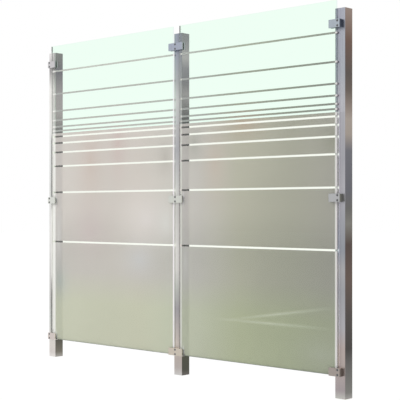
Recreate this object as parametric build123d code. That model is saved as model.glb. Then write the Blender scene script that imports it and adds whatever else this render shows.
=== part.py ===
"""Two-bay glass fence: three square stainless posts carry two toughened glass panels in nine clamps.

Millimetres. X runs along the fence, Y towards the back and Z up. The origin is the centre of the
middle post's foot, and the glass hangs on the -Y side of the posts.
"""

from build123d import *
import os

# Posts: square stainless tube, evenly spaced along X
post_spacing = 1085.0
post_side = 60.0
post_wall = 2.0
post_corner_radius = 3.0

# Caps: a flat plate as wide as the post, with a skirt that pushes into the tube
cap_plate = 3.0
cap_edge_chamfer = 0.8
cap_skirt_depth = 18.0
cap_skirt_wall = 1.5
cap_fit_clearance = 0.1

# Glass: toughened panes with ground edges, held clear of the ground and of each other
glass_thickness = 8.0
glass_height = 1800.0
glass_ground_gap = 113.0
glass_edge_chamfer = 0.8
glass_rise_above_post = 38.0
panel_gap = 49.0
panel_end_inset = 10.5

# Satin pattern, blasted into the back of each pane: a field that starts a drop below the top edge,
# satin lines that rise above its upper edge and clear lines left within it
etch_depth = 0.2
line_height = 10.0
satin_field_drop = 537.0
satin_line_rises = (382.0, 242.0, 137.0, 80.0, 40.0, 15.0)
clear_line_depths = (20.0, 60.0, 117.0, 202.0, 362.0, 664.0)

# Clamps: a base on the post and a cover in front of the glass, with rubber pads between
clamp_height = 40.0
clamp_arm = 52.0
clamp_outer_reach = 14.0
clamp_corner_radius = 2.5
base_plate = 5.5
cover_plate = 7.5
cover_edge_chamfer = 1.2
top_clamp_drop = 113.0
bottom_clamp_rise = 16.0
rib_to_glass = 1.0

# Pads: rubber between glass and jaws, and a setting pad under the glass in the bottom clamps
pad_thickness = 1.5
pad_margin = 1.5
pad_corner_radius = 2.0

# Cover screws: two countersunk socket screws on the post's centre line
cover_screw_pitch = 24.0
cover_screw_radius = 3.0
cover_screw_head_radius = 6.0
cover_screw_length = 18.0
cover_screw_socket = 4.0
cover_screw_socket_depth = 2.4
cover_hole_clearance = 0.3

# Fixing screws: one countersunk socket screw through each base into a rivet nut
fixing_screw_radius = 4.0
fixing_screw_head_radius = 8.0
fixing_screw_length = 30.0
fixing_screw_socket = 5.0
fixing_screw_socket_depth = 3.0
fixing_hole_clearance = 0.3

# Screws in general: how far heads sit below the face, and the spare depth of a tapped hole
head_sink = 0.2
tapped_hole_spare = 1.5

# Rivet nuts: set in the front wall of the post, flange outside and bulge inside
nut_body_radius = 5.5
nut_length = 17.0
nut_flange_radius = 7.5
nut_flange = 1.0
nut_bulge_radius = 7.0
nut_bulge = 3.0
nut_hole_clearance = 0.1
nut_recess_clearance = 0.3

# Levels and planes that follow from the sizes above
glass_top = glass_ground_gap + glass_height
post_top = glass_top - glass_rise_above_post
tube_top = post_top - cap_plate
tube_inside = post_side - 2 * post_wall
post_face = -post_side / 2
base_front = post_face - base_plate
glass_back = base_front - pad_thickness
glass_front = glass_back - glass_thickness
cover_back = glass_front - pad_thickness
cover_front = cover_back - cover_plate
panel_width = post_spacing - panel_gap / 2 - panel_end_inset
clamp_half_height = clamp_height / 2
top_clamp_level = glass_top - top_clamp_drop
bottom_clamp_level = glass_ground_gap + bottom_clamp_rise
clamp_levels = {
    "bottom": bottom_clamp_level,
    "middle": (bottom_clamp_level + top_clamp_level) / 2,
    "top": top_clamp_level,
}

# Where each post stands, and how far its clamps and its bare strip between panes reach each way
posts = {
    "left": {
        "x": -post_spacing,
        "clamp": (-clamp_outer_reach, clamp_arm),
        "rib": (-clamp_outer_reach, panel_end_inset - rib_to_glass),
    },
    "middle": {
        "x": 0.0,
        "clamp": (-clamp_arm, clamp_arm),
        "rib": (rib_to_glass - panel_gap / 2, panel_gap / 2 - rib_to_glass),
    },
    "right": {
        "x": post_spacing,
        "clamp": (-clamp_arm, clamp_outer_reach),
        "rib": (rib_to_glass - panel_end_inset, clamp_outer_reach),
    },
}
panels = {
    "left": (-panel_gap / 2 - panel_width, -panel_gap / 2),
    "right": (panel_gap / 2, panel_gap / 2 + panel_width),
}


def block(x_range, y_range, z_range):
    """A rectangular bar between two limits on each axis."""
    size = [high - low for low, high in (x_range, y_range, z_range)]
    centre = [(high + low) / 2 for low, high in (x_range, y_range, z_range)]
    return Pos(*centre) * Box(*size)


def plate(x_range, z_range, y_front, y_back, corner_radius):
    """A plate that faces -Y, with rounded corners."""
    width = x_range[1] - x_range[0]
    height = z_range[1] - z_range[0]
    outline = RectangleRounded(width, height, corner_radius)
    centre = ((x_range[0] + x_range[1]) / 2, y_back, (z_range[0] + z_range[1]) / 2)
    face = Plane(origin=centre, x_dir=(1, 0, 0), z_dir=(0, -1, 0)) * outline
    return extrude(face, y_back - y_front, dir=(0, -1, 0))


def turned(points, x, y, z):
    """A solid of revolution about a line along Y: points are (radius, depth behind y)."""
    profile = make_face(Polyline(*[(radius, depth) for radius, depth in points], close=True))
    solid = revolve(profile, Axis.Y, 360)
    return Pos(x, y, z) * solid


def countersunk_screw(x, y, z, radius, head_radius, length, socket, socket_depth):
    """A countersunk socket screw that enters the work at y and points to +Y."""
    cone = head_radius - radius
    tip = radius / 3
    body = turned(
        [
            (0, 0),
            (head_radius, 0),
            (radius, cone),
            (radius, length - tip),
            (radius - tip, length),
            (0, length),
        ],
        x, y, z,
    )
    hexagon = RegularPolygon(socket / 2, 6, major_radius=False)
    mouth = Plane(origin=(x, y, z), x_dir=(1, 0, 0), z_dir=(0, -1, 0)) * hexagon
    return body - extrude(mouth, socket_depth, dir=(0, 1, 0))


def countersunk_hole(x, y, z, radius, head_radius, depth):
    """The cutter for a countersunk hole: a cone that the head seats on, then a straight hole."""
    mouth_radius = head_radius + head_sink
    return turned(
        [
            (0, 0),
            (mouth_radius, 0),
            (radius, mouth_radius - radius),
            (radius, depth),
            (0, depth),
        ],
        x, y, z,
    )


def build_post(post_x):
    """A length of square tube with a hole in its front wall for each rivet nut."""
    ring = RectangleRounded(post_side, post_side, post_corner_radius)
    ring -= RectangleRounded(tube_inside, tube_inside, post_corner_radius - post_wall)
    tube = Pos(post_x, 0, 0) * extrude(ring, tube_top)
    hole_radius = nut_body_radius + nut_hole_clearance
    for level in clamp_levels.values():
        start = Plane(origin=(post_x, post_face, level), z_dir=(0, 1, 0))
        tube -= extrude(start * Circle(hole_radius), post_wall)
    return tube


def build_cap(post_x):
    """A flat square cap with a square skirt that pushes into the tube."""
    cap = extrude(RectangleRounded(post_side, post_side, post_corner_radius), cap_plate)
    cap = chamfer(cap.faces().sort_by(Axis.Z)[-1].edges(), cap_edge_chamfer)
    skirt_side = tube_inside - 2 * cap_fit_clearance
    skirt_corner = post_corner_radius - post_wall
    skirt = RectangleRounded(skirt_side, skirt_side, skirt_corner)
    hollow = skirt_side - 2 * cap_skirt_wall
    skirt -= Rectangle(hollow, hollow)
    cap += extrude(skirt, -cap_skirt_depth)
    return Pos(post_x, 0, tube_top) * cap


def satin_bands():
    """The blasted bands of a pane, as (upper, lower) drops below the glass top."""
    half = line_height / 2
    satin_lines = [satin_field_drop - rise for rise in satin_line_rises]
    clear_lines = [satin_field_drop + depth for depth in clear_line_depths]
    bands = [(drop - half, drop + half) for drop in satin_lines]
    band_start = satin_field_drop
    for drop in clear_lines:
        bands.append((band_start, drop - half))
        band_start = drop + half
    bands.append((band_start, glass_height))
    return bands


def build_panel(x_range):
    """A pane with ground edges, blasted in horizontal bands across its back."""
    pane = block(x_range, (glass_front, glass_back), (glass_ground_gap, glass_top))
    pane = chamfer(pane.edges(), glass_edge_chamfer)
    for upper, lower in satin_bands():
        levels = (glass_top - lower, glass_top - upper)
        pane -= block(x_range, (glass_back - etch_depth, glass_back), levels)
    return pane


def clamp_z_range(level):
    return (level - clamp_half_height, level + clamp_half_height)


def cover_screw_levels(level):
    return (level - cover_screw_pitch / 2, level + cover_screw_pitch / 2)


def pane_sides(post_name):
    """Which sides of a post carry a pane: -1 is towards -X."""
    return {"left": (1,), "middle": (-1, 1), "right": (-1,)}[post_name]


def arm_range(post_name, side, margin):
    """From the rib to the end of a clamp's arm on one side, along X from the post's centre."""
    rib = posts[post_name]["rib"]
    clamp = posts[post_name]["clamp"]
    if side > 0:
        return (rib[1], clamp[1] - margin)
    return (clamp[0] + margin, rib[0])


def shifted(x_range, post_x):
    return (post_x + x_range[0], post_x + x_range[1])


def build_base(post_name, level_name):
    """A clamp base: rear jaw, the rib that fills the strip beside the glass, and its holes."""
    post_x = posts[post_name]["x"]
    level = clamp_levels[level_name]
    z_range = clamp_z_range(level)
    outline = shifted(posts[post_name]["clamp"], post_x)
    jaw = plate(outline, z_range, base_front, post_face, clamp_corner_radius)
    whole = plate(outline, z_range, cover_back, post_face, clamp_corner_radius)
    rib = shifted(posts[post_name]["rib"], post_x)
    base = jaw + (whole & block(rib, (cover_back, post_face), z_range))
    if level_name == "bottom":
        ledge_top = glass_ground_gap - pad_thickness
        for side in pane_sides(post_name):
            arm = shifted(arm_range(post_name, side, 0), post_x)
            base += whole & block(arm, (cover_back, base_front), (z_range[0], ledge_top))
    base -= countersunk_hole(
        post_x, cover_back, level,
        fixing_screw_radius + fixing_hole_clearance,
        fixing_screw_head_radius,
        post_face - cover_back,
    )
    recess = nut_flange + nut_recess_clearance
    recess_radius = nut_flange_radius + nut_recess_clearance
    recess_plane = Plane(origin=(post_x, post_face, level), z_dir=(0, -1, 0))
    base -= extrude(recess_plane * Circle(recess_radius), recess)
    tapped = cover_screw_length - cover_plate + tapped_hole_spare
    for screw_level in cover_screw_levels(level):
        mouth = Plane(origin=(post_x, cover_back, screw_level), z_dir=(0, 1, 0))
        base -= extrude(mouth * Circle(cover_screw_radius), tapped)
    return base


def build_cover(post_name, level_name):
    """A clamp cover: front jaw with eased front edges and two countersunk holes."""
    post_x = posts[post_name]["x"]
    level = clamp_levels[level_name]
    outline = shifted(posts[post_name]["clamp"], post_x)
    cover = plate(outline, clamp_z_range(level), cover_front, cover_back, clamp_corner_radius)
    front_edges = cover.faces().sort_by(Axis.Y)[0].edges()
    cover = chamfer(front_edges, cover_edge_chamfer)
    for screw_level in cover_screw_levels(level):
        cover -= countersunk_hole(
            post_x, cover_front, screw_level,
            cover_screw_radius + cover_hole_clearance,
            cover_screw_head_radius,
            cover_plate,
        )
    return cover


def build_pads(post_name, level_name):
    """The rubber pads of a clamp: behind and in front of each pane, and under it at the bottom."""
    post_x = posts[post_name]["x"]
    level = clamp_levels[level_name]
    low, high = clamp_z_range(level)
    pads = []
    for side in pane_sides(post_name):
        arm = arm_range(post_name, side, pad_margin)
        if side > 0:
            arm = (arm[0] + rib_to_glass, arm[1])
        else:
            arm = (arm[0], arm[1] - rib_to_glass)
        arm = shifted(arm, post_x)
        pad_low = low + pad_margin
        if level_name == "bottom":
            pad_low = glass_ground_gap
            pads.append(
                block(arm, (glass_front, glass_back), (glass_ground_gap - pad_thickness, glass_ground_gap))
            )
        z_range = (pad_low, high - pad_margin)
        pads.append(plate(arm, z_range, glass_back, base_front, pad_corner_radius))
        pads.append(plate(arm, z_range, cover_back, glass_front, pad_corner_radius))
    return pads


def build_cover_screws(post_x):
    return [
        countersunk_screw(
            post_x, cover_front + head_sink, screw_level,
            cover_screw_radius, cover_screw_head_radius, cover_screw_length - head_sink,
            cover_screw_socket, cover_screw_socket_depth,
        )
        for level in clamp_levels.values()
        for screw_level in cover_screw_levels(level)
    ]


def build_fixing_screws(post_x):
    return [
        countersunk_screw(
            post_x, cover_back + head_sink, level,
            fixing_screw_radius, fixing_screw_head_radius, fixing_screw_length,
            fixing_screw_socket, fixing_screw_socket_depth,
        )
        for level in clamp_levels.values()
    ]


def build_rivet_nuts(post_x):
    """Rivet nuts: a flange on the post's face, a body through the wall and a bulge behind it."""
    nuts = []
    for level in clamp_levels.values():
        nuts.append(
            turned(
                [
                    (fixing_screw_radius, -nut_flange),
                    (nut_flange_radius, -nut_flange),
                    (nut_flange_radius, 0),
                    (nut_body_radius, 0),
                    (nut_body_radius, post_wall),
                    (nut_bulge_radius, post_wall),
                    (nut_bulge_radius, post_wall + nut_bulge / 2),
                    (nut_body_radius, post_wall + nut_bulge),
                    (nut_body_radius, nut_length),
                    (fixing_screw_radius, nut_length),
                ],
                post_x, post_face, level,
            )
        )
    return nuts


def save(node, shape, label_color):
    """Write one node as a STEP file in parts/."""
    if isinstance(shape, list):
        shape = Compound(children=shape)
    shape.label = node
    shape.color = label_color
    export_step(shape, f"parts/{node}.step")


def main():
    os.makedirs("parts", exist_ok=True)
    steel = Color(0.70, 0.70, 0.72)
    zinc = Color(0.55, 0.55, 0.50)
    rubber = Color(0.10, 0.10, 0.10)
    glass = Color(0.80, 0.92, 0.88, 0.5)
    for name, x_range in panels.items():
        save(f"glass_panel_{name}", build_panel(x_range), glass)
    for name, post in posts.items():
        save(f"post_{name}", build_post(post["x"]), steel)
        save(f"post_cap_{name}", build_cap(post["x"]), steel)
        save(f"cover_screws_{name}", build_cover_screws(post["x"]), steel)
        save(f"fixing_screws_{name}", build_fixing_screws(post["x"]), steel)
        save(f"rivet_nuts_{name}", build_rivet_nuts(post["x"]), zinc)
        for level_name in clamp_levels:
            save(f"clamp_base_{name}_{level_name}", build_base(name, level_name), steel)
            save(f"clamp_cover_{name}_{level_name}", build_cover(name, level_name), steel)
            save(f"clamp_pads_{name}_{level_name}", build_pads(name, level_name), rubber)


main()
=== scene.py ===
"""Looks for a two-bay glass fence: stainless posts and clamps that hold glass with a blasted pattern."""

import math

import bpy
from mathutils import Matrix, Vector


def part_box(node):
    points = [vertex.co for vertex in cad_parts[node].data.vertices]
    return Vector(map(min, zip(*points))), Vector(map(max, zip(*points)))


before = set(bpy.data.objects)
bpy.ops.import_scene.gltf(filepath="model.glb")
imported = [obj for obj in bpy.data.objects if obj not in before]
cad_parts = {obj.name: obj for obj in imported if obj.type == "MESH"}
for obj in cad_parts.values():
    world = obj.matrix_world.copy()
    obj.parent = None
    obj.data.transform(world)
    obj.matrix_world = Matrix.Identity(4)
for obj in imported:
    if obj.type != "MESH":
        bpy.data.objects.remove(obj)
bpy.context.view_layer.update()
scene = bpy.context.scene
scene.view_settings.view_transform = "Standard"


# Studio: a white room with a plain floor. Straight views, mirrors and glass see it as white,
# while the light that falls on the fence stays at the level where a colour looks as written.
# One soft light stands for a window, and the camera looks level from the front right.
room_white = 1.0
room_light = 0.74
floor_reach = 30.0
floor_glow = 1.06
floor_shade = 0.10


def add_node(tree, kind, inputs=None, **settings):
    """Adds a node, sets its properties, and sets or links its inputs by name or number."""
    made = tree.nodes.new(kind)
    for name, value in settings.items():
        setattr(made, name, value)
    for socket, value in (inputs or {}).items():
        if isinstance(value, bpy.types.NodeSocket):
            tree.links.new(value, made.inputs[socket])
        else:
            made.inputs[socket].default_value = value
    return made


def linear(hex_colour):
    """An sRGB hex colour as the linear values that shaders take."""
    parts = [int(hex_colour[i : i + 2], 16) / 255 for i in (1, 3, 5)]
    return [c / 12.92 if c <= 0.04045 else ((c + 0.055) / 1.055) ** 2.4 for c in parts] + [1.0]


def new_material(name):
    """An empty node material with its output, ready for nodes."""
    material = bpy.data.materials.new(name)
    material.use_nodes = True
    tree = material.node_tree
    tree.nodes.clear()
    return material, tree, tree.nodes.new("ShaderNodeOutputMaterial")


def seen_straight(tree):
    """1 for rays that show the room itself: from the camera, off a mirror or through glass."""
    path = add_node(tree, "ShaderNodeLightPath")
    mirror = add_node(
        tree,
        "ShaderNodeMath",
        {0: path.outputs["Is Camera Ray"], 1: path.outputs["Is Glossy Ray"]},
        operation="MAXIMUM",
    )
    return add_node(
        tree,
        "ShaderNodeMath",
        {0: mirror.outputs[0], 1: path.outputs["Is Transmission Ray"]},
        operation="MAXIMUM",
    ).outputs[0]


room = bpy.data.worlds.new("studio_room")
scene.world = room
room.use_nodes = True
room.node_tree.nodes.clear()
room_strength = add_node(
    room.node_tree,
    "ShaderNodeMix",
    {"Factor": seen_straight(room.node_tree), "A": room_light, "B": room_white},
)
room_shader = add_node(
    room.node_tree,
    "ShaderNodeBackground",
    {"Color": linear("#FFFFFF"), "Strength": room_strength.outputs["Result"]},
)
add_node(room.node_tree, "ShaderNodeOutputWorld", {"Surface": room_shader.outputs[0]})

floor_mesh = bpy.data.meshes.new("studio_floor")
floor_mesh.from_pydata(
    [
        (-floor_reach, -floor_reach, 0),
        (floor_reach, -floor_reach, 0),
        (floor_reach, floor_reach, 0),
        (-floor_reach, floor_reach, 0),
    ],
    [],
    [(0, 1, 2, 3)],
)
floor = bpy.data.objects.new("studio_floor", floor_mesh)
scene.collection.objects.link(floor)
floor_paint, tree, output = new_material("white_studio_paint")
matt = add_node(tree, "ShaderNodeBsdfDiffuse", {"Color": linear("#F4F4F4")})
glow = add_node(tree, "ShaderNodeEmission", {"Color": linear("#FFFFFF"), "Strength": floor_glow})
soft_shadow = add_node(
    tree, "ShaderNodeMixShader", {0: floor_shade, 1: glow.outputs[0], 2: matt.outputs[0]}
)
shown = add_node(
    tree,
    "ShaderNodeMixShader",
    {0: seen_straight(tree), 1: matt.outputs[0], 2: soft_shadow.outputs[0]},
)
tree.links.new(shown.outputs[0], output.inputs["Surface"])
floor_mesh.materials.append(floor_paint)

window_light = bpy.data.lights.new("key_window", "SUN")
window_light.energy = 0.85
window_light.angle = math.radians(35)
window = bpy.data.objects.new("key_window", window_light)
window.rotation_euler = (math.radians(52), 0, math.radians(-28))
scene.collection.objects.link(window)

camera_data = bpy.data.cameras.new("camera")
camera_data.sensor_width = 36.0
camera_data.lens = 96.0
camera_data.shift_y = 0.02435
camera = bpy.data.objects.new("camera", camera_data)
camera.location = (4.087, -4.223, 0.907)
camera.rotation_euler = (math.radians(90), 0, math.radians(43.086))
scene.collection.objects.link(camera)
scene.camera = camera


# Posts: three lengths of square stainless tube with rounded corners, each closed by a cap and grained along
# its length.
# What the steel mirrors is painted into its tones as bands of painted reflection: sky above, planting and
# paving below, with the sides painted darker as painted shade; the grain softens the bands. The real grain is
# too fine to show here, so it is drawn 3.5 mm wide.
post_names = ("left", "middle", "right")
post_x = {name: (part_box(f"post_{name}")[0].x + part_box(f"post_{name}")[1].x) / 2 for name in post_names}
pattern_top = 1.376
bare_foot = 0.113
grain_width = 0.0035
grain_length = 0.25
grain_depth = 0.0004
grain_relief = 0.12
gloss_spread = 0.05
strongest_strip = 2.5

# Round a corner the tone turns from the front's to the side's, between the first two of these leans
# of the surface to the side. Strips show only where it leans forwards by more than the third.
corner_start = 0.45
corner_end = 0.85
forward_lean = -0.3

# Noise stays mostly between these two values, so its range is spread from them.
noise_low = 0.3
noise_high = 0.7


def tone_run(tree, axis, stops, gain=1.0):
    """A colour that changes along one axis of the fence.

    A stop is a place in metres and a hex colour, three factors, or one factor for all three. Factors
    are stored as shares of the gain, so it is as large as the largest of them.
    """
    low, high = stops[0][0], stops[-1][0]
    place = add_node(tree, "ShaderNodeTexCoord").outputs["Object"]
    along = add_node(tree, "ShaderNodeSeparateXYZ", {0: place}).outputs[axis]
    share = add_node(tree, "ShaderNodeMapRange", {"Value": along, "From Min": low, "From Max": high})
    ramp = add_node(tree, "ShaderNodeValToRGB", {0: share.outputs["Result"]})
    elements = ramp.color_ramp.elements
    while len(elements) < len(stops):
        elements.new(0.5)
    for element, (level, tone) in zip(elements, stops):
        element.position = (level - low) / (high - low)
        if isinstance(tone, str):
            element.color = linear(tone)
        else:
            factors = tone if isinstance(tone, tuple) else (tone, tone, tone)
            element.color = [factor / gain for factor in factors] + [1.0]
    if gain == 1.0:
        return ramp.outputs["Color"]
    return add_node(
        tree, "ShaderNodeVectorMath", {0: ramp.outputs["Color"], "Scale": gain}, operation="SCALE"
    ).outputs[0]


def strips_across(tree, axes, strips, pane_end):
    """Factors of painted light and shade for the tone across a post's front: a run up to the pattern's top,
    and one above it.

    The end of a pane mirrors there as a narrow dark line, a painted reflection and shadow: its place, half
    width and factors by height.
    """
    low_run, high_run = (tone_run(tree, "X", run, gain=strongest_strip) for run in strips)
    above = add_node(
        tree, "ShaderNodeMath", {0: axes.outputs["Z"], 1: pattern_top}, operation="GREATER_THAN"
    )
    factors = add_node(
        tree, "ShaderNodeMix", {"Factor": above.outputs[0], 6: low_run, 7: high_run}, data_type="RGBA"
    ).outputs[2]
    if pane_end:
        middle, half_width, by_height = pane_end
        on_line = add_node(
            tree,
            "ShaderNodeMath",
            {0: axes.outputs["X"], 1: middle, 2: half_width},
            operation="COMPARE",
        )
        factors = add_node(
            tree,
            "ShaderNodeMix",
            {"Factor": on_line.outputs[0], 6: factors, 7: tone_run(tree, "Z", by_height)},
            data_type="RGBA",
            blend_type="MULTIPLY",
        ).outputs[2]
    return factors


def grained_stainless(name, front, side, strips=(), pane_end=(), roughness=0.34, grain=0.06):
    """Stainless steel grained along Z, with runs of tones by height for its front and its side faces, which
    hold painted reflections and painted shade.

    Strips of painted light and shade lift or lower the tone across the front, beside the panes and above
    them.
    """
    material, tree, output = new_material(name)
    place = add_node(tree, "ShaderNodeTexCoord").outputs["Object"]
    axes = add_node(tree, "ShaderNodeSeparateXYZ", {0: place})
    normal = add_node(tree, "ShaderNodeNewGeometry").outputs["Normal"]
    facing = add_node(tree, "ShaderNodeSeparateXYZ", {0: normal})
    sideways = add_node(tree, "ShaderNodeMath", {0: facing.outputs["X"]}, operation="ABSOLUTE")
    turned = add_node(
        tree,
        "ShaderNodeMapRange",
        {"Value": sideways.outputs[0], "From Min": corner_start, "From Max": corner_end},
        interpolation_type="SMOOTHSTEP",
    )
    front_tone = tone_run(tree, "Z", front)
    if strips:
        beside_pane = add_node(
            tree, "ShaderNodeMath", {0: axes.outputs["Z"], 1: bare_foot}, operation="GREATER_THAN"
        )
        forwards = add_node(
            tree, "ShaderNodeMath", {0: facing.outputs["Y"], 1: forward_lean}, operation="LESS_THAN"
        )
        on_front = add_node(
            tree,
            "ShaderNodeMath",
            {0: beside_pane.outputs[0], 1: forwards.outputs[0]},
            operation="MULTIPLY",
        )
        front_tone = add_node(
            tree,
            "ShaderNodeMix",
            {"Factor": on_front.outputs[0], 6: front_tone, 7: strips_across(tree, axes, strips, pane_end)},
            data_type="RGBA",
            blend_type="MULTIPLY",
        ).outputs[2]
    tone = add_node(
        tree,
        "ShaderNodeMix",
        {"Factor": turned.outputs["Result"], 6: front_tone, 7: tone_run(tree, "Z", side)},
        data_type="RGBA",
    ).outputs[2]
    stretched = add_node(
        tree,
        "ShaderNodeMapping",
        {"Vector": place, "Scale": (1 / grain_width, 1 / grain_width, 1 / grain_length)},
    )
    lines = add_node(
        tree,
        "ShaderNodeTexNoise",
        {"Vector": stretched.outputs[0], "Scale": 1.0, "Detail": 3.0, "Roughness": 0.6},
    )
    streak = add_node(
        tree,
        "ShaderNodeMapRange",
        {
            "Value": lines.outputs["Fac"],
            "From Min": noise_low,
            "From Max": noise_high,
            "To Min": 1 - grain,
            "To Max": 1 + grain,
        },
    )
    colour = add_node(
        tree, "ShaderNodeVectorMath", {0: tone, "Scale": streak.outputs["Result"]}, operation="SCALE"
    )
    relief = add_node(
        tree,
        "ShaderNodeBump",
        {"Height": lines.outputs["Fac"], "Strength": grain_relief, "Distance": grain_depth},
    )
    gloss = add_node(
        tree,
        "ShaderNodeMapRange",
        {
            "Value": lines.outputs["Fac"],
            "From Min": noise_low,
            "From Max": noise_high,
            "To Min": roughness - gloss_spread,
            "To Max": roughness + gloss_spread,
        },
    )
    steel = add_node(
        tree,
        "ShaderNodeBsdfPrincipled",
        {
            "Base Color": colour.outputs[0],
            "Metallic": 1.0,
            "Roughness": gloss.outputs["Result"],
            "Normal": relief.outputs["Normal"],
        },
    )
    tree.links.new(steel.outputs[0], output.inputs["Surface"])
    return material


def give(node, *materials):
    """Gives a CAD piece these materials in place of its own."""
    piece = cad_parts[node]
    piece.data.materials.clear()
    for material in materials:
        piece.data.materials.append(material)
    return piece


# Tones by height, with painted reflections and painted shade: those of each post's front, then those of its
# side, which is painted darker.
post_tones_and_painted_reflections = {
    "left": (
        [
            (0.00, "#E2DEDA"),
            (0.03, "#D2CCC8"),
            (0.07, "#D6D0CA"),
            (0.24, "#C8CBC6"),
            (0.36, "#C4C3C0"),
            (0.78, "#E8E7E4"),
            (1.03, "#DCDDDA"),
            (1.30, "#EEEFED"),
            (1.58, "#ECEAE6"),
            (1.65, "#F4F2EE"),
            (1.77, "#A09E9E"),
            (1.86, "#E2DEDE"),
        ],
        [
            (0.00, "#AAA6A0"),
            (0.03, "#7A766C"),
            (0.10, "#605E56"),
            (0.50, "#4E4E4C"),
            (1.35, "#50504E"),
            (1.50, "#A6989C"),
            (1.62, "#A2949A"),
            (1.76, "#66606A"),
            (1.86, "#7A7476"),
        ],
    ),
    "middle": (
        [
            (0.00, "#C8C6C4"),
            (0.04, "#B4ACA8"),
            (0.09, "#B4AAA4"),
            (0.17, "#DAD2C8"),
            (0.36, "#B4B2B4"),
            (0.48, "#D0D4CC"),
            (0.58, "#EAEAE4"),
            (0.69, "#EEEEE8"),
            (0.90, "#DCDCD6"),
            (1.02, "#E4E6E0"),
            (1.24, "#C2C4C6"),
            (1.50, "#DADBD6"),
            (1.60, "#BEC0BE"),
            (1.78, "#A6AAB4"),
        ],
        [
            (0.00, "#6E6A66"),
            (0.03, "#54544C"),
            (0.17, "#56574A"),
            (0.45, "#3E3F3C"),
            (1.40, "#40403E"),
            (1.54, "#988E92"),
            (1.60, "#767076"),
            (1.68, "#847E86"),
            (1.74, "#AEA4A8"),
            (1.84, "#868288"),
        ],
    ),
    "right": (
        [
            (0.00, "#BCBCB6"),
            (0.04, "#A1989A"),
            (0.17, "#B4A8A3"),
            (0.24, "#B5A8A4"),
            (0.34, "#B0AFB3"),
            (0.52, "#A3A4A8"),
            (0.62, "#ACACAE"),
            (0.71, "#969AA2"),
            (1.02, "#B2B1B6"),
            (1.15, "#A8A8AE"),
            (1.42, "#B0B0B5"),
            (1.58, "#A0A4AB"),
            (1.84, "#9FA2AC"),
        ],
        [
            (0.00, "#A09E9A"),
            (0.03, "#7C7B77"),
            (0.17, "#646260"),
            (0.24, "#474442"),
            (0.40, "#524C49"),
            (0.57, "#64564F"),
            (0.74, "#564A46"),
            (0.84, "#7E7C76"),
            (0.91, "#6A6966"),
            (1.00, "#68686E"),
            (1.19, "#707076"),
            (1.27, "#A2988F"),
            (1.34, "#A69C93"),
            (1.40, "#8E827A"),
            (1.48, "#6A6059"),
            (1.56, "#5C5450"),
            (1.72, "#6F5A50"),
            (1.86, "#93837A"),
        ],
    ),
}

# Strips of painted light and shade by distance from the post's middle, where the panes mirror in the front
# and shade it: those up to the pattern's top, then those above it.
painted_front_strips = {
    "left": (
        [(-0.030, 0.95), (-0.018, 0.95), (-0.009, 1.12), (0.030, 1.12)],
        [
            (-0.030, 0.95),
            (-0.018, 0.95),
            (-0.009, 1.12),
            (-0.003, (1.0, 0.90, 0.96)),
            (0.009, (0.76, 0.65, 0.72)),
            (0.019, (1.04, 0.87, 0.98)),
            (0.030, (1.04, 0.87, 0.98)),
        ],
    ),
    "middle": (
        [
            (-0.030, 0.95),
            (-0.021, 1.15),
            (-0.0125, 0.83),
            (-0.005, 0.77),
            (0.003, 0.66),
            (0.009, (0.80, 0.74, 0.78)),
            (0.018, (1.05, 0.90, 1.0)),
            (0.030, (0.77, 0.67, 0.73)),
        ],
        [
            (-0.030, 0.66),
            (-0.021, (0.92, 0.94, 0.95)),
            (-0.0125, (0.87, 0.89, 0.90)),
            (-0.005, (0.78, 0.80, 0.81)),
            (0.003, (0.70, 0.72, 0.73)),
            (0.009, (0.66, 0.64, 0.67)),
            (0.018, (0.76, 0.66, 0.75)),
            (0.026, (0.64, 0.55, 0.62)),
            (0.030, (0.64, 0.55, 0.62)),
        ],
    ),
    "right": (
        [
            (-0.030, 1.3),
            (-0.0140, 1.5),
            (-0.0118, 2.5),
            (-0.0078, 2.5),
            (-0.004, 0.95),
            (0.002, 0.82),
            (0.010, 0.90),
            (0.030, 0.92),
        ],
        [
            (-0.030, (0.80, 0.78, 0.81)),
            (-0.0277, (0.80, 0.78, 0.81)),
            (-0.0218, (0.92, 0.74, 0.90)),
            (-0.0158, (0.57, 0.49, 0.58)),
            (-0.0099, (1.20, 1.05, 1.13)),
            (-0.004, (1.0, 0.98, 1.0)),
            (0.002, 0.94),
            (0.010, 1.0),
            (0.030, 1.0),
        ],
    ),
}

# The left pane's dark end mirrors in the left post as a painted reflection and shadow: the line's middle,
# half width and factors.
painted_end_reflections = {
    "left": (
        post_x["left"] - 0.0105,
        0.0018,
        [
            (0.11, 0.12),
            (0.30, 0.12),
            (0.42, 0.35),
            (0.50, 1.0),
            (0.90, 1.0),
            (0.98, 0.25),
            (1.34, 0.25),
            (pattern_top, 1.0),
        ],
    ),
}
for name in post_names:
    front, side = post_tones_and_painted_reflections[name]
    strips = [[(post_x[name] + offset, factor) for offset, factor in run] for run in painted_front_strips[name]]
    tube = grained_stainless(
        f"grained_stainless_tube_{name}", front, side, strips, painted_end_reflections.get(name, ())
    )
    give(f"post_{name}", tube)
    give(f"post_cap_{name}", tube)


# Rivet nuts: zinc-plated steel, pulled tight in the front wall of each post, one behind each clamp.
# The bases of the clamps hide them. Their plating is a dull grey with a faint yellow mottle.
mottle_width = 0.0025
zinc, tree, output = new_material("zinc_plated_steel")
place = add_node(tree, "ShaderNodeTexCoord").outputs["Object"]
mottle = add_node(tree, "ShaderNodeTexNoise", {"Vector": place, "Scale": 1 / mottle_width})
tone = add_node(
    tree,
    "ShaderNodeMix",
    {"Factor": mottle.outputs["Fac"], 6: linear("#9A9A8E"), 7: linear("#B4B4AA")},
    data_type="RGBA",
)
plating = add_node(
    tree,
    "ShaderNodeBsdfPrincipled",
    {"Base Color": tone.outputs[2], "Metallic": 1.0, "Roughness": 0.4},
)
tree.links.new(plating.outputs[0], output.inputs["Surface"])
for name in post_names:
    give(f"rivet_nuts_{name}", zinc)
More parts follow.
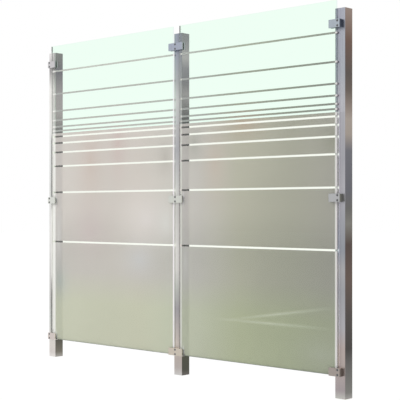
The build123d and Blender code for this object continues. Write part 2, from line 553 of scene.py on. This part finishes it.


# Clamps: two cast stainless jaws at each level, tumbled to a finer, greyer finish than the tube.
# They are screwed together over the edges of the panes, with rubber between steel and glass.
# Their tones, painted light, shade and reflection for each post and level, are those of the front, then those
# of the sides, each from the bottom clamp up.
clamp_heights = {"bottom": 0.129, "middle": 0.9645, "top": 1.80}
painted_cast_tones = {
    "left": (("#CFC5C0", "#D7D9D3", "#C6C4C6"), ("#F8EEE6", "#D6DCD2", "#A2A2A6")),
    "middle": (("#C6BDB0", "#CBCDC6", "#A0A6B4"), ("#CCC5BC", "#B8B9B1", "#B6B6BE")),
    "right": (("#9F9690", "#ACADAE", "#9EA6AE"), ("#857D77", "#88887F", "#565C68")),
}
for name in post_names:
    front, side = (list(zip(clamp_heights.values(), tones)) for tones in painted_cast_tones[name])
    cast = grained_stainless(f"tumbled_cast_stainless_{name}", front, side, roughness=0.38, grain=0.03)
    for level in clamp_heights:
        give(f"clamp_base_{name}_{level}", cast)
        give(f"clamp_cover_{name}_{level}", cast)


# Pads: black EPDM rubber, cut from 1.5 mm sheet. Only their edges show between the steel and the glass, and
# they are
# painted a mottled dull grey there: painted light that lifts the shade in that gap.
grey_patch = 0.00625
rubber, tree, output = new_material("black_epdm_sheet")
place = add_node(tree, "ShaderNodeTexCoord").outputs["Object"]
grey_mottle = add_node(tree, "ShaderNodeTexNoise", {"Vector": place, "Scale": 1 / grey_patch})
painted_light_grey = add_node(
    tree,
    "ShaderNodeMix",
    {"Factor": grey_mottle.outputs["Fac"], 6: linear("#6A6B69"), 7: linear("#84857F")},
    data_type="RGBA",
)
cut_edge = add_node(
    tree, "ShaderNodeBsdfPrincipled", {"Base Color": painted_light_grey.outputs[2], "Roughness": 0.75}
)
tree.links.new(cut_edge.outputs[0], output.inputs["Surface"])
for name in post_names:
    for level in clamp_heights:
        give(f"clamp_pads_{name}_{level}", rubber)


# Panes: 8 mm toughened float glass with ground edges. Light goes straight through it, and glances off
# at a low angle. Iron gives the glass a faint green tint, which its back face carries here.
pane_names = ("left", "right")
pane_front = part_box("glass_panel_left")[0].y
pane_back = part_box("glass_panel_left")[1].y
pane_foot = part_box("glass_panel_left")[0].z
pane_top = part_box("glass_panel_left")[1].z
face_mirror = 0.04
mirror_rise = 5.0


def polished_glass(name, tint):
    """A polished face of float glass: it passes light straight on, and mirrors more at a low angle."""
    material, tree, output = new_material(name)
    slant = add_node(tree, "ShaderNodeLayerWeight", {"Blend": 0.5}).outputs["Facing"]
    steep = add_node(tree, "ShaderNodeMath", {0: slant, 1: mirror_rise}, operation="POWER")
    mirrored = add_node(
        tree,
        "ShaderNodeMapRange",
        {"Value": steep.outputs[0], "To Min": face_mirror, "To Max": 1.0},
    )
    body = add_node(tree, "ShaderNodeBsdfTransparent", {"Color": linear(tint)})
    polish = add_node(tree, "ShaderNodeBsdfGlossy", {"Color": linear("#FFFFFF"), "Roughness": 0.0})
    sheet = add_node(
        tree, "ShaderNodeMixShader", {0: mirrored.outputs["Result"], 1: body.outputs[0], 2: polish.outputs[0]}
    )
    tree.links.new(sheet.outputs[0], output.inputs["Surface"])
    return material


front_glass = polished_glass("clear_float_glass_front", "#FFFFFF")
back_glass = polished_glass("clear_float_glass_back", "#EDFFF3")
# Light that scatters in the satin beside them fills the narrow clear lines, so they look whiter.
line_glass = polished_glass("clear_float_glass_lines", "#F9FDF3")


# Ground edges: seen through the pane they look dark where light runs along inside the glass,
# and pale where it runs out of it, so each edge of a pane has its own tones.
# Beside the satin an end glows over its back half, between these depths behind the pane's front.
glow_start = 0.0045
glow_full = 0.0053


def ground_edge(name, stops, glow=None):
    """A ground edge in a run of tones by height. Beside the satin, its back half can glow."""
    material, tree, output = new_material(name)
    tone = tone_run(tree, "Z", stops)
    if glow:
        place = add_node(tree, "ShaderNodeTexCoord").outputs["Object"]
        axes = add_node(tree, "ShaderNodeSeparateXYZ", {0: place})
        back_half = add_node(
            tree,
            "ShaderNodeMapRange",
            {
                "Value": axes.outputs["Y"],
                "From Min": pane_front + glow_start,
                "From Max": pane_front + glow_full,
            },
        )
        beside_satin = add_node(
            tree, "ShaderNodeMath", {0: axes.outputs["Z"], 1: pattern_top}, operation="LESS_THAN"
        )
        amount = add_node(
            tree,
            "ShaderNodeMath",
            {0: back_half.outputs["Result"], 1: beside_satin.outputs[0]},
            operation="MULTIPLY",
        )
        tone = add_node(
            tree,
            "ShaderNodeMix",
            {"Factor": amount.outputs[0], 6: tone, 7: linear(glow)},
            data_type="RGBA",
        ).outputs[2]
    edge = add_node(
        tree, "ShaderNodeBsdfPrincipled", {"Base Color": tone, "Roughness": 0.3, "IOR": 1.5}
    )
    tree.links.new(edge.outputs[0], output.inputs["Surface"])
    return material


def clear_edge(name, tint):
    """An edge that passes what stands behind it."""
    material, tree, output = new_material(name)
    body = add_node(tree, "ShaderNodeBsdfTransparent", {"Color": linear(tint)})
    tree.links.new(body.outputs[0], output.inputs["Surface"])
    return material


foot_edge = ground_edge("ground_glass_foot_edge", [(pane_foot, "#5E6B68"), (pane_top, "#5E6B68")])
top_edge = clear_edge("ground_glass_top_edge", "#F0FBF4")
far_edge = clear_edge("polished_glass_end", "#FCF6FE")
near_edges = {
    "left": [
        (0.11, "#101410"),
        (0.26, "#101410"),
        (0.38, "#181C18"),
        (0.52, "#F4F4F0"),
        (0.88, "#F4F4F0"),
        (1.00, "#181C18"),
        (1.33, "#181C18"),
        (1.40, "#D4D2CE"),
        (1.85, "#B4B2B0"),
        (1.876, "#B4B2B0"),
        (1.880, "#2A3432"),
        (1.92, "#2A3432"),
    ],
    "right": [
        (0.11, "#34382F"),
        (1.37, "#20241E"),
        (1.39, "#B0AEAE"),
        (1.80, "#A2A4AA"),
        (1.876, "#7E8488"),
        (1.880, "#1C2422"),
        (1.92, "#1C2422"),
    ],
}


# Satin: the pattern, blasted 0.2 mm deep into the back of each pane with fine grit. It scatters light evenly;
# the soft tones of what stands around are painted into it as light, shade and reflection, with upright bands
# of painted light and shade where a post or a pane's end shows through.
blast_depth = 0.0002
drift_width = 0.4545
drift_low = 0.97
drift_high = 1.03

# What is seen is the satin's own tone, with a pale veil over it: what the front face mirrors and
# what shows through. Tones are given as seen, and the veil is taken off them.
see_through_share = 0.06
satin_veil = 0.128
satin_gain = 0.785


def satin_glass(name, along, by_height, patches, bands):
    """Blasted glass: painted light and reflection along the fence, tinted by height, with soft patches and
    upright bands of painted light and shade.
    """
    material, tree, output = new_material(name)
    place = add_node(tree, "ShaderNodeTexCoord").outputs["Object"]
    axes = add_node(tree, "ShaderNodeSeparateXYZ", {0: place})
    tone = add_node(
        tree,
        "ShaderNodeMix",
        {"Factor": 1.0, 6: tone_run(tree, "X", along), 7: tone_run(tree, "Z", by_height)},
        data_type="RGBA",
        blend_type="MULTIPLY",
    ).outputs[2]
    for x, z, half_width, half_height, tilt, strength, colour in patches:
        moved = add_node(
            tree,
            "ShaderNodeMapping",
            {
                "Vector": place,
                "Location": (x, pane_back, z),
                "Rotation": (0, -tilt, 0),
                "Scale": (half_width, 1, half_height),
            },
            vector_type="TEXTURE",
        )
        spot = add_node(
            tree, "ShaderNodeTexGradient", {0: moved.outputs[0]}, gradient_type="QUADRATIC_SPHERE"
        )
        amount = add_node(
            tree, "ShaderNodeMath", {0: spot.outputs["Fac"], 1: strength}, operation="MULTIPLY"
        )
        tone = add_node(
            tree,
            "ShaderNodeMix",
            {"Factor": amount.outputs[0], 6: tone, 7: linear(colour)},
            data_type="RGBA",
        ).outputs[2]
    drift = add_node(
        tree,
        "ShaderNodeTexNoise",
        {"Vector": place, "Scale": 1 / drift_width, "Detail": 1.0, "Roughness": 0.4},
    )
    wash = add_node(
        tree,
        "ShaderNodeMapRange",
        {
            "Value": drift.outputs["Fac"],
            "From Min": noise_low,
            "From Max": noise_high,
            "To Min": drift_low,
            "To Max": drift_high,
        },
    )
    tone = add_node(
        tree, "ShaderNodeVectorMath", {0: tone, "Scale": wash.outputs["Result"]}, operation="SCALE"
    ).outputs[0]
    for low_x, high_x, fade, strength, colour, blend in bands:
        middle = (low_x + high_x) / 2
        half = (high_x - low_x) / 2
        offset = add_node(tree, "ShaderNodeMath", {0: axes.outputs["X"], 1: middle}, operation="SUBTRACT")
        distance = add_node(tree, "ShaderNodeMath", {0: offset.outputs[0]}, operation="ABSOLUTE")
        amount = add_node(
            tree,
            "ShaderNodeMapRange",
            {
                "Value": distance.outputs[0],
                "From Min": half + fade / 2,
                "From Max": half - fade / 2,
                "To Max": strength,
            },
            interpolation_type="SMOOTHSTEP",
        )
        tone = add_node(
            tree,
            "ShaderNodeMix",
            {"Factor": amount.outputs["Result"], 6: tone, 7: linear(colour)},
            data_type="RGBA",
            blend_type=blend,
        ).outputs[2]
    own_tone = add_node(
        tree,
        "ShaderNodeVectorMath",
        {0: tone, 1: (1 / satin_gain,) * 3, 2: (-satin_veil / satin_gain,) * 3},
        operation="MULTIPLY_ADD",
    ).outputs[0]
    frosted = add_node(
        tree,
        "ShaderNodeBsdfPrincipled",
        {"Base Color": own_tone, "Roughness": 0.7, "IOR": 1.5},
    )
    seen_through = add_node(tree, "ShaderNodeBsdfTransparent", {"Color": linear("#F2F6F2")})
    satin = add_node(
        tree, "ShaderNodeMixShader", {0: see_through_share, 1: frosted.outputs[0], 2: seen_through.outputs[0]}
    )
    tree.links.new(satin.outputs[0], output.inputs["Surface"])
    return material


# The tones along the fence and the factors by height were fitted to tones first set one by one.
# These are painted shade and reflection: darker towards the right end, and tinted by height with painted
# reflections of sky, shade and lawn.
painted_along_fence = [
    (-1.07, "#CFCAC4"),
    (-0.30, "#CFC9C2"),
    (-0.05, "#CAC7C0"),
    (0.15, "#C1BEB8"),
    (0.45, "#B4B3A4"),
    (0.80, "#A7A79A"),
    (1.07, "#A1A098"),
]
by_height = [
    (0.113, (0.884, 0.959, 0.821)),
    (0.36, (0.884, 0.959, 0.821)),
    (0.54, (0.868, 0.883, 0.878)),
    (0.68, (0.868, 0.883, 0.878)),
    (0.90, 1.0),
    (1.375, 1.0),
    (1.385, (0.750, 0.820, 0.820)),
    (1.650, (0.750, 0.820, 0.820)),
    (1.740, (0.860, 0.940, 0.930)),
    (1.913, (0.860, 0.940, 0.930)),
]

# Patches of painted light, shade and reflection: the middle's x and z, half width, half height, tilt,
# strength and colour.
# Those beside the arms of the clamps are white: painted light that the steel throws on the satin.
patches = [
    (-0.72, 1.20, 0.22, 0.50, 0.0, 0.6, "#C6B5AC"),
    (-0.48, 1.30, 0.14, 0.40, 0.0, 0.6, "#C8B4B0"),
    (-0.24, 0.85, 0.38, 0.28, 0.0, 0.7, "#DCD7D4"),
    (0.28, 1.15, 0.16, 0.35, 0.0, 0.5, "#C2B2A6"),
    (0.48, 1.36, 0.25, 0.16, 0.0, 0.7, "#B4A190"),
    (0.13, 1.27, 0.12, 0.20, 0.0, 0.8, "#AAAAA2"),
    (-0.09, 1.20, 0.13, 0.22, 0.0, 0.6, "#B4AFA8"),
    (-0.09, 0.83, 0.14, 0.20, 0.0, 0.5, "#DADBD7"),
    (0.062, 0.62, 0.055, 0.24, 0.0, 0.9, "#CBCBC4"),
    (-1.015, 0.74, 0.06, 0.34, 0.0, 0.8, "#DCDAD6"),
    (-1.0, 0.47, 0.15, 0.20, 0.0, 0.9, "#B6BBB5"),
    (-0.72, 0.78, 0.34, 0.30, 0.0, 0.6, "#C5B8B7"),
    (-0.30, 0.62, 0.26, 0.20, 0.0, 0.6, "#C6C8CA"),
    (1.05, 1.24, 0.16, 0.15, 0.0, 0.6, "#8D8F80"),
    (0.70, 0.380, 0.50, 0.016, 0.15, 0.5, "#CDD2C0"),
    (0.64, 0.331, 0.55, 0.016, 0.0, 0.5, "#CDD2C0"),
    (0.98, 0.20, 0.30, 0.16, 0.0, 0.5, "#A8AC9F"),
]
for arm_x in (-1.038, 0.047):
    for level in ("bottom", "middle"):
        patches.append((arm_x, clamp_heights[level], 0.014, 0.06, 0.0, 1.0, "#FFFFFF"))

# Bands of painted light and shade where a post or a pane's end stands behind the satin: their lower and upper
# x, the width of their fade, strength, colour and way of mixing.
painted_bands = {
    "left": [
        (-1.046, -0.985, 0.020, 1.00, "#FAFBFD", "MULTIPLY"),
        (-1.080, -1.045, 0.014, 0.95, "#F2F2EE", "MIX"),
        (-0.0325, 0.0, 0.004, 0.95, "#ECEEE8", "MIX"),
    ],
    "right": [
        (0.037, 0.088, 0.014, 1.00, "#FAFAFD", "MULTIPLY"),
        (0.020, 0.0365, 0.006, 0.95, "#E2E3DC", "MIX"),
        (1.0600, 1.09, 0.004, 0.95, "#DEDFDA", "MIX"),
    ],
}

# A face belongs to one of the pane's two sides, to its top or foot, or else to one of its ends, by
# how far it leans that way. Chamfers and the pattern's steps count with the top, foot or ends.
side_lean = 0.99
rim_lean = 0.3
for name in pane_names:
    satin = satin_glass(f"blasted_satin_glass_{name}", painted_along_fence, by_height, patches, painted_bands[name])
    finishes = {
        "front": front_glass,
        "clear back": back_glass,
        "satin": satin,
        "foot": foot_edge,
        "top": top_edge,
        "far end": far_edge,
        "near end": ground_edge(f"ground_glass_end_{name}", near_edges[name], glow="#FFFFFA"),
        "clear line": line_glass,
    }
    slots = {finish: slot for slot, finish in enumerate(finishes)}
    pane = give(f"glass_panel_{name}", *finishes.values())
    for face in pane.data.polygons:
        way = face.normal
        if way.y < -side_lean:
            finish = "front"
        elif way.y > side_lean and face.center.y < pane_back - blast_depth / 2:
            finish = "satin"
        elif way.y > side_lean:
            finish = "clear line" if face.center.z < pattern_top else "clear back"
        elif abs(way.z) > rim_lean:
            finish = "top" if way.z > 0 else "foot"
        else:
            finish = "far end" if way.x > 0 else "near end"
        face.material_index = slots[finish]


# Screws: A2 stainless, machined, with countersunk heads and hexagon sockets. Two close each cover
# over the panes, and one behind it holds the base to its rivet nut.
# A socket is painted dark between these two depths below the cover's front, as painted shade; the heads' mid
# grey is partly painted shade as well.
socket_lip = 0.0003
socket_dark = 0.0012
cover_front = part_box("clamp_cover_middle_top")[0].y
screw_steel, tree, output = new_material("machined_a2_stainless")
place = add_node(tree, "ShaderNodeTexCoord").outputs["Object"]
depth = add_node(tree, "ShaderNodeSeparateXYZ", {0: place}).outputs["Y"]
in_socket = add_node(
    tree,
    "ShaderNodeMapRange",
    {"Value": depth, "From Min": cover_front + socket_lip, "From Max": cover_front + socket_dark},
)
tone = add_node(
    tree,
    "ShaderNodeMix",
    {"Factor": in_socket.outputs["Result"], 6: linear("#6E6E70"), 7: linear("#161616")},
    data_type="RGBA",
)
head = add_node(
    tree,
    "ShaderNodeBsdfPrincipled",
    {"Base Color": tone.outputs[2], "Metallic": 1.0, "Roughness": 0.3},
)
tree.links.new(head.outputs[0], output.inputs["Surface"])
for name in post_names:
    give(f"cover_screws_{name}", screw_steel)
    give(f"fixing_screws_{name}", screw_steel)
